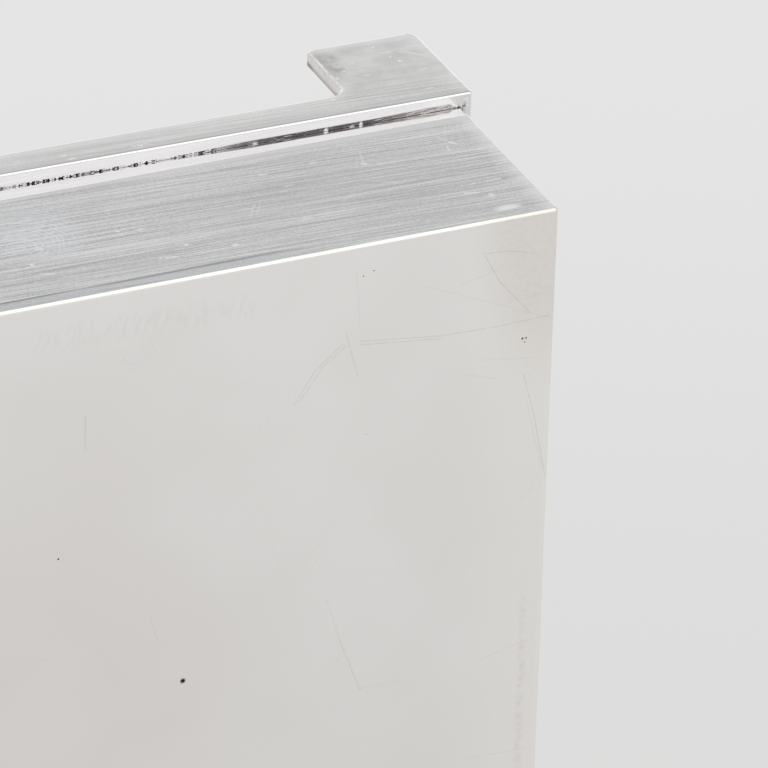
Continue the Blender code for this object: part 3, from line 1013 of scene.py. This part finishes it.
# The underside and the tarnish next to the seam
TURN_DOWN_FADE = (0.05, 0.3)
TURN_OUT_FADE = (INNER_Y + 0.5 * MM, INNER_Y + 0.8 * MM, 0.0, 0.8)
EDGE_HIGHLIGHT_FADE = (0.62, 0.74)
UNDER_FADE = (0.97, 0.995)
UNDER_COLOUR_FADE = (40.0 * MM, 78.0 * MM)
UNDER_END_FADE = (78.5 * MM, 81.5 * MM)
DULL_END_FADE = (0.8 * MM, 2.6 * MM, 0.30, 0.0)
END_HAZE_FADE = (80.0 * MM, 84.0 * MM, 0.0, 0.18)
RAIL_ROUGHNESS = 0.085
UNDER_SMOOTHING = -0.05
TARNISH_ROUGHNESS = 0.4
FRONT_END_FADE = (-1.0 * MM, -1.6 * MM)
WEDGE_FADE = (-32.0 * MM, -23.0 * MM)
CORNER_END_FADE = (-11.0 * MM, -3.5 * MM)
ELSEWHERE_CLOUDS = (30.0, 1.0, 0.50, 0.72)
ELSEWHERE_FADE = (60.0 * MM, 80.0 * MM)
TARNISH_REACH = 0.24 * MM
CORNER_TARNISH_REACH = 0.16 * MM
BESIDE_SEAM_FADE = (1.1, 0.75)
LOW_DOWN_FADE = (2.0 * MM, 1.0 * MM)
STREAK_CLOUDS = ((1.8, 0.10, 0.10), 2.0)
STREAK_FADE = (0.28, 0.46, 0.30, 0.90)
CORNER_STREAKS = -0.14
DASHES = ((0.24, 0.20, 0.20), 2.0, 0.46, 0.52)
DASH_CLOUDS = (3.0, 1.0, 0.36, 0.50, 0.2, 1.0)
PALE_STREAKS = ((2.2, 0.16, 0.16), 2.0, 0.46, 0.60, 0.0, 0.9)
CORNER_BROWN = 0.8
SEAM_GLINTS = (
    ((-15.5,), (0.35, 0.6, 0.6)),
    ((-11.6,), (0.30, 0.6, 0.6)),
    ((-12.6,), (0.45, 0.2, 0.6)),
    ((-23.4,), (0.5, 0.25, 0.6)),
)


def on_rail(x, z):
    """A place on the front rail, in millimetres along and up from the near corner."""
    return Vector((x * MM, HALF_WIDTH - OUTER_Y, z * MM))


def at_seam(x):
    """A place on the seam, in millimetres along from the near corner."""
    return Vector((x * MM, 0.0, SEAM_HEIGHT))


brushed_rail, coordinates, output = new_material("brushed rails")
place = coordinates["Object"]
facing = parts_of(coordinates["Normal"])
parts = parts_of(place)
from_corner = measured_from(place, NEAR_CORNER)
along = parts_of(from_corner)["X"]
across_x = maths("ABSOLUTE", parts["X"])
across_y = maths("ABSOLUTE", parts["Y"])
above_seam = maths("SUBTRACT", parts["Z"], SEAM_HEIGHT)
outward_x = maths("SUBTRACT", across_x, INNER_X)
outward_y = maths("SUBTRACT", across_y, INNER_Y)
from_top = maths("SUBTRACT", RAIL_HIGH.z, parts["Z"])
from_side = maths("SUBTRACT", RAIL_HIGH.x, across_x)

# The face: brushed, softer on the tabs, with nicks, a streak and a stain; painted shade low down, and
# painted highlights towards the top between the tabs, along the rims and at the tab's foot
brushing = place_group(brushing_group, place, Wander=RAIL_WANDER)
on_tab = fade(parts["Z"], *ON_TAB_FADE)
softness = build_up(RAIL_SOFTNESS, (on_tab, TAB_SOFTNESS))
lines = mix_values(softness, brushing["Lines"], clouds(place, *SOFT_CLOUDS))
high_light = greatest(fade(parts["Z"], *HIGH_LIGHT_FADE), LEAST_LIGHT)
high_light = times(high_light, fade(across_x, *BETWEEN_TABS_FADE))
speckled = times(draw_patches(from_corner, SPECKLED_PATCH, on_rail), clouds(place, *SPECKLED_CLOUDS))
streak = draw_scratches(from_corner, TAB_STREAK, TAB_STREAK_WIDTH, on_rail)
marks_and_highlights = draw_patches(from_corner, RAIL_MARKS_AND_HIGHLIGHTS, on_rail)
stain = draw_patches(from_corner, TAB_STAINS, on_rail)
metal = paint(
    RAIL_DARK,
    (RAIL_LIGHT, lines),
    (BRUSHED_PALE, brushing["Strays"], STRAY_STRENGTH),
    (BRUSHED_PALE, brushing["Nicks"], RAIL_NICK_STRENGTH),
    # Painted shade low on the face, just above the seam
    (RAIL_DARK, fade(above_seam, *LOW_SHADE_FADE)),
    # Painted highlight towards the top between the tabs and along the top and end rims
    (BRUSHED_PALE, greatest(high_light, fade(from_top, *TOP_RIM_FADE), fade(from_side, *SIDE_RIM_FADE))),
    # Pale marks, painted highlights at the tab's foot, speckles and a streak
    (BRUSHED_PALE, greatest(marks_and_highlights, speckled, times(streak, TAB_STREAK_STRENGTH))),
    (STAIN_COLOUR, stain, clouds(place, *STAIN_CLOUDS)),
)

# The narrow end faces of the tabs: greyer, pitted, and dark along the rim at the back, with a painted
# highlight along the rounded front edge
sideways = maths("ABSOLUTE", facing["X"])
tab_end = times(on_tab, maths("LESS_THAN", across_x, TAB_END_REACH))
rim = greatest(fade(outward_y, *END_RIM_FADE), clouds(place, *END_PIT_CLOUDS))
off_middle = maths("ABSOLUTE", maths("SUBTRACT", parts["Z"], TAB_MIDDLE))
rim_colour = mix_colours(fade(off_middle, *END_DARK_FADE), TAB_END_RIM, TAB_END_DARK)
# A painted highlight on the rounding between each end face and the front face
glint = times(fade(sideways, *GLINT_START_FADE), fade(sideways, *GLINT_END_FADE), tab_end)
metal = paint(
    metal,
    (mix_colours(rim, TAB_END_PALE, rim_colour), fade(sideways, *TAB_END_FADE), tab_end),
    (TAB_GLINT, glint, clouds(place, *GLINT_CLOUDS)),
)

# The underside: polished, dull at its end, with a painted shade line where the outer edge turns down
# and a painted highlight on that edge; its tone is darker from 40 mm along and lighter again near the
# end, as painted reflection
downward = times(facing["Z"], -1.0)
turned_down = fade(downward, *TURN_DOWN_FADE)
underside = fade(downward, *UNDER_FADE)
# Underside tone darker from 40 mm along and lighter near the end: painted reflection brightness
under_metal = paint(
    UNDER_MIDDLE_TONE,
    (UNDER_COLOUR, fade(across_x, *UNDER_COLOUR_FADE)),
    (UNDER_END, fade(across_x, *UNDER_END_FADE)),
)
metal = paint(
    metal,
    # Painted shade: a dark line where the outer edge turns down
    (RAIL_DARK, turned_down, fade(across_y, *TURN_OUT_FADE)),
    # Painted highlight on that edge
    (BRUSHED_PALE, fade(downward, *EDGE_HIGHLIGHT_FADE)),
    (under_metal, underside),
    (DULL_END_COLOUR, fade(from_side, *DULL_END_FADE), underside),
)

# The tarnish next to the seam: dashes, which join into a wedge of streaks near the photographed corner
front_side = times(maths("LESS_THAN", parts["Y"], 0.0), fade(along, *FRONT_END_FADE))
corner_end = times(fade(along, *CORNER_END_FADE), front_side)
away = vector_maths("LENGTH", from_corner)["Value"]
elsewhere = times(clouds(place, *ELSEWHERE_CLOUDS), fade(away, *ELSEWHERE_FADE))
grime = greatest(times(fade(along, *WEDGE_FADE), front_side), elsewhere)
reach = build_up(TARNISH_REACH, (grime, TARNISH_REACH), (corner_end, CORNER_TARNISH_REACH))
share_out = maths("DIVIDE", greatest(outward_x, outward_y), reach)
beside_seam = times(fade(share_out, *BESIDE_SEAM_FADE), fade(above_seam, *LOW_DOWN_FADE))
streaks = build_up(clouds(place, *STREAK_CLOUDS), (corner_end, CORNER_STREAKS))
streaks = fade(streaks, *STREAK_FADE)
dashes = times(clouds(place, *DASHES), clouds(place, *DASH_CLOUDS))
bare = maths("SUBTRACT", 1.0, draw_patches(from_corner, SEAM_GLINTS, at_seam), clamp=True)
grime_mask = times(beside_seam, mix_values(grime, dashes, streaks), bare)
grime_colour = paint(
    TARNISH,
    (TARNISH_PALE, clouds(place, *PALE_STREAKS), grime),
    (TARNISH_BROWN, corner_end, CORNER_BROWN),
)
metal = paint(metal, (grime_colour, grime_mask))
smooth = build_up(
    RAIL_ROUGHNESS, (lines, LINE_ROUGHNESS), (turned_down, UNDER_SMOOTHING),
    (grime_mask, TARNISH_ROUGHNESS), (underside, fade(across_x, *END_HAZE_FADE)),
)
finish_surface(output, metal, smooth, lines, *FINE_RELIEF)


def raise_face(shape, face, rise):
    """Draws a face of a bmesh upwards, with walls below it."""
    grown = bmesh.ops.extrude_face_region(shape, geom=[face])["geom"]
    tops = [item for item in grown if isinstance(item, bmesh.types.BMVert)]
    bmesh.ops.translate(shape, vec=Z_AXIS * rise, verts=tops)


def rounding_share(at_inner, at_bottom):
    """The share of the outline's rounding that an edge of a rail gets."""
    if at_bottom:
        return SEAM_EDGE_SHARE if at_inner else LOWER_EDGE_SHARE
    return INNER_OUTLINE_SHARE if at_inner else 1.0


for name, side in (("front", -1.0), ("back", 1.0)):
    node = "lid_" + name + "_rail"
    low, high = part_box(node)
    inner = INNER_Y * side
    low.y, high.y = sorted((OUTER_Y * side, inner))
    shape = box_shape(low, Vector((high.x, high.y, RAIL_TOP)))
    cut_across(shape, X_AXIS, -TAB_INNER, TAB_INNER)
    tab_feet = [
        face for face in shape.faces
        if face.normal.z > 0.5 and abs(face.calc_center_median().x) > TAB_INNER
    ]
    for foot in tab_feet:
        raise_face(shape, foot, high.z - RAIL_TOP)
        bmesh.ops.delete(shape, geom=[foot], context="FACES_ONLY")
    bmesh.ops.dissolve_limit(
        shape, angle_limit=STRAIGHT, use_dissolve_boundaries=False,
        verts=shape.verts[:], edges=shape.edges[:],
    )
    for x in (low.x, -TAB_INNER, TAB_INNER, high.x):
        corner_edge = edges_between(shape, Vector((x, low.y, high.z)), Vector((x, high.y, high.z)))
        radius = TAB_INNER_RADIUS if abs(x) < high.x - TOUCH else TAB_OUTER_RADIUS
        round_edges(shape, corner_edge, radius, TAB_FACES)
    for x in (-TAB_INNER, TAB_INNER):
        foot_edge = edges_between(shape, Vector((x, low.y, RAIL_TOP)), Vector((x, high.y, RAIL_TOP)))
        round_edges(shape, foot_edge, TAB_FOOT_RADIUS, TAB_FACES)
    cut_across(shape, X_AXIS, -INNER_X, INNER_X)
    ends = [face for face in shape.faces if abs(face.calc_center_median().x) > INNER_X]
    cut_across(shape, Z_AXIS, RAIL_TOP, only=ends)
    weights = shape.edges.layers.float.new("bevel_weight_edge")
    for edge in shape.edges:
        middle = middle_of(edge)
        at_inner = abs(middle.y - inner) < TOUCH
        covered = at_inner and abs(middle.x) > INNER_X and middle.z < RAIL_TOP - TOUCH
        if not covered and edge.calc_face_angle() >= SHARP_ANGLE:
            edge[weights] = rounding_share(at_inner, abs(middle.z - low.z) < TOUCH)
    finish_piece(
        name + "_rail_with_tabs", shape, brushed_rail, "brushed_plate", "lid", node,
        rounding=OUTLINE_RADIUS,
    )

for name, side in (("left", -1.0), ("right", 1.0)):
    node = "lid_" + name + "_rail"
    low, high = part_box(node)
    outer = RAIL_HIGH.x * side
    inner = INNER_X * side
    fillet = inner - SOLDER_LEG * side
    outline = (
        (outer, -INNER_Y), (outer, INNER_Y), (fillet, INNER_Y),
        (inner, INNER_Y - SOLDER_LEG), (inner, SOLDER_LEG - INNER_Y), (fillet, -INNER_Y),
    )
    shape = bmesh.new()
    corners = [shape.verts.new((x, y, low.z)) for x, y in outline]
    raise_face(shape, shape.faces.new(corners), high.z - low.z)
    weights = shape.edges.layers.float.new("bevel_weight_edge")
    for edge in shape.edges:
        middle = middle_of(edge)
        if abs(edge.verts[0].co.y - edge.verts[1].co.y) >= INNER_Y:
            edge[weights] = rounding_share(abs(middle.x - inner) < TOUCH, abs(middle.z - low.z) < TOUCH)
    finish_piece(
        name + "_rail", shape, brushed_rail, "brushed_plate", "lid", node, rounding=OUTLINE_RADIUS,
    )


# The lid's top plate. A polished sheet let in a little below the tops of the rails and soldered to
# them all round, with a thin fillet of solder along its edge.

SOLDER_FILLET = 0.35 * MM
LID_FILM_CLOUDS = (45.0, 2.0, 0.35, 0.70, 0.1, 0.5)
LID_WIPING_STRENGTH = 0.18
LID_MARK_ROUGHNESS = 0.2

polished_lid, coordinates, output = new_material("mirror polished lid")
place = coordinates["Object"]
wiping = place_group(wiping_group, place)
metal = paint(
    POLISHED_CLEAN,
    (POLISHED_WARM, clouds(place, *LID_FILM_CLOUDS)),
    (POLISHED_DULL, wiping["Marks"], LID_WIPING_STRENGTH),
    (SPECK_COLOUR, wiping["Pits"]),
)
smooth = build_up(POLISHED_ROUGHNESS, (wiping["Marks"], LID_MARK_ROUGHNESS))
finish_surface(output, metal, smooth, wiping["Marks"], *FINE_RELIEF)

low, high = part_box("lid_top_plate")
low = Vector((-INNER_X, -INNER_Y, low.z))
high = Vector((INNER_X, INNER_Y, high.z))
top_shape = box_shape(low, high)
top_face = [face for face in top_shape.faces if face.normal.z > 0.5]
bmesh.ops.inset_region(top_shape, faces=top_face, thickness=SOLDER_FILLET, use_even_offset=True)
rim = [vert for vert in top_shape.verts if vert.co.z > high.z - TOUCH and (
    abs(vert.co.x) > high.x - TOUCH or abs(vert.co.y) > high.y - TOUCH
)]
bmesh.ops.translate(top_shape, vec=Z_AXIS * SOLDER_FILLET, verts=rim)
finish_piece("polished_lid_top", top_shape, polished_lid, "polished_plate", "lid", "lid_top_plate")


# The lid's cedar panel. One thin board glued under the top plate, which drops between the walls and
# centres the lid.

add_cedar_board("cedar_lid_lining", "lid_cedar_panel", "lid", ALONG, (0.71, 0.25, 0.0))
